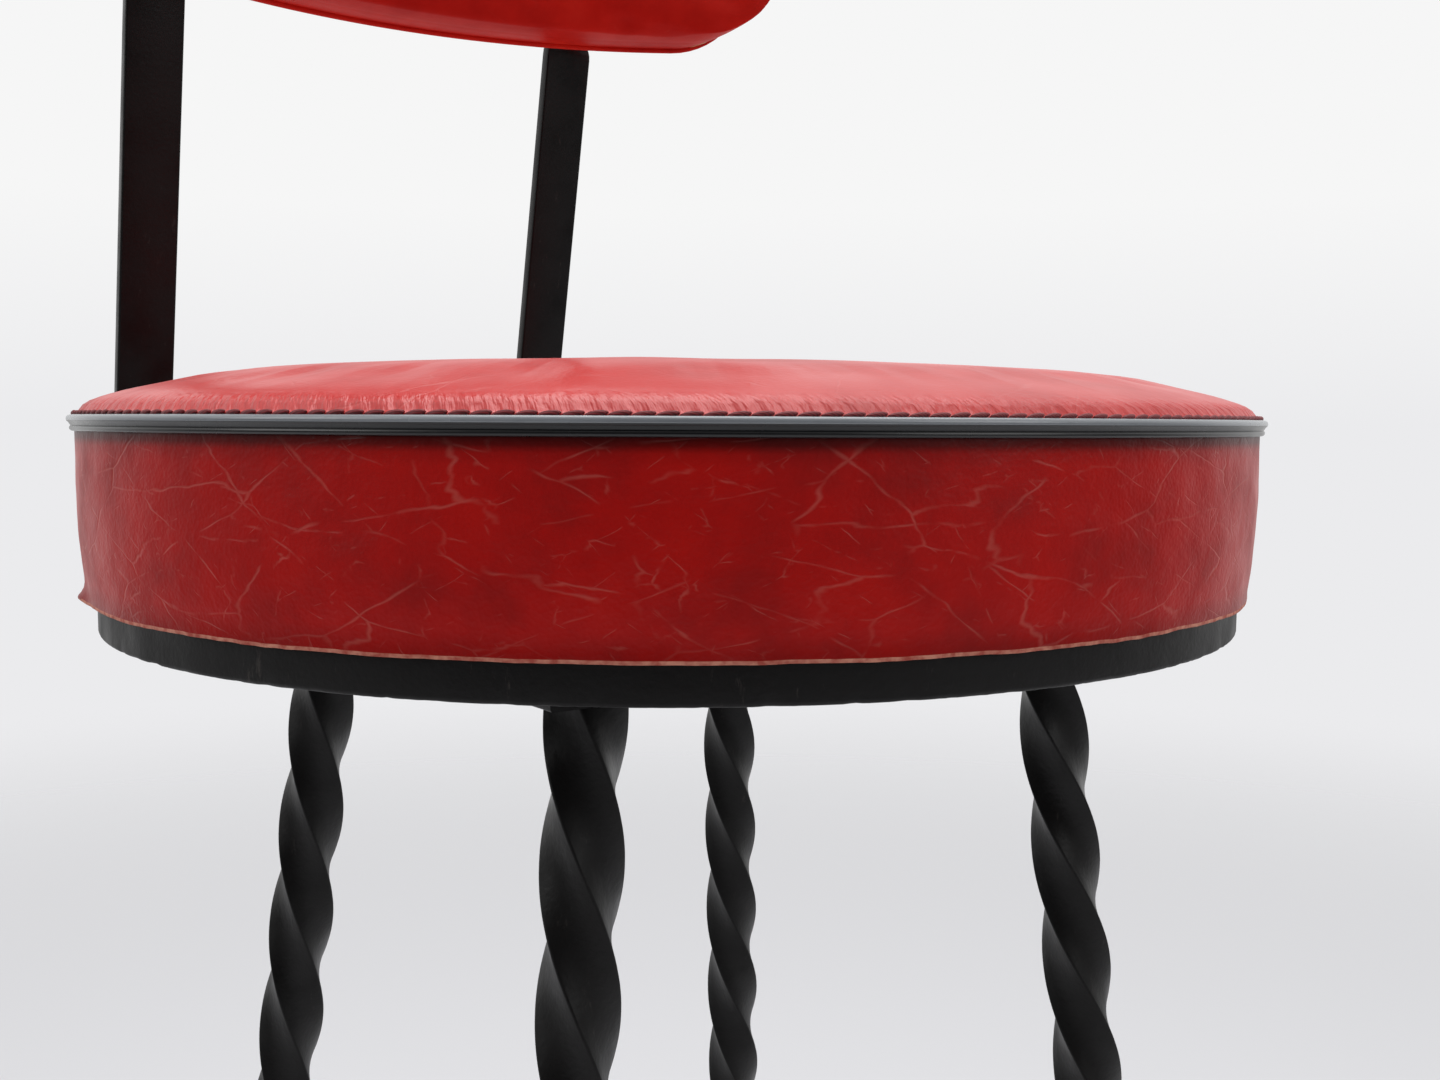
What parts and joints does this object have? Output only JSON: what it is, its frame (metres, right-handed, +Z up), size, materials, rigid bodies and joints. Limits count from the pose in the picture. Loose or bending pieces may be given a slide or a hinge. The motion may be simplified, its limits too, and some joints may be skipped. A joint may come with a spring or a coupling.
{
  "type": "bar stool with backrest",
  "caption": "Bar stool with a round upholstered seat, twisted square-bar legs, a foot ring and a curved padded backrest on two bent flat bars.",
  "frame": {"origin": "on the floor, under the centre of the round seat and midway between the four feet", "axes": "+Z up; the sitter faces -Y, so the backrest is on the +Y side; +X is to the right seen from the front"},
  "size_m": [0.3737, 0.4689, 1.0549],
  "materials": {
    "seat_leather": "glazed, creased",
    "pad_leather": "glazed",
    "grey_trim": "glossy",
    "black_board": "satin black paint",
    "black_iron": "satin black paint",
    "black_rubber": "matt",
    "zinc_steel": "zinc plated",
    "plywood": "raw",
    "foam": "open cell foam",
    "thread": "waxed thread"
  },
  "bodies": {
    "root": {"seat_board": "black_board", "seat_foam": "foam", "seat_top_cover": "seat_leather", "seat_side_band": "seat_leather", "seat_trim": "grey_trim", "seam_thread": "thread", "back_bar_left": "black_iron", "back_bar_right": "black_iron", "front_cross_strap": "black_iron", "rear_cross_strap": "black_iron", "leg_rear_right": "black_iron", "leg_rear_left": "black_iron", "leg_front_left": "black_iron", "leg_front_right": "black_iron", "leg_welds": "black_iron", "foot_ring": "black_iron", "foot_ring_welds": "black_iron", "foot_cap_rear_right": "black_rubber", "foot_cap_rear_left": "black_rubber", "foot_cap_front_left": "black_rubber", "foot_cap_front_right": "black_rubber", "frame_screws": "zinc_steel", "pad_board": "plywood", "pad_foam": "foam", "pad_front_cover": "pad_leather", "pad_rear_cover": "pad_leather", "pad_welt": "pad_leather", "pad_bolts": "zinc_steel", "pad_tee_nuts": "zinc_steel"}
  },
  "joints": []
}
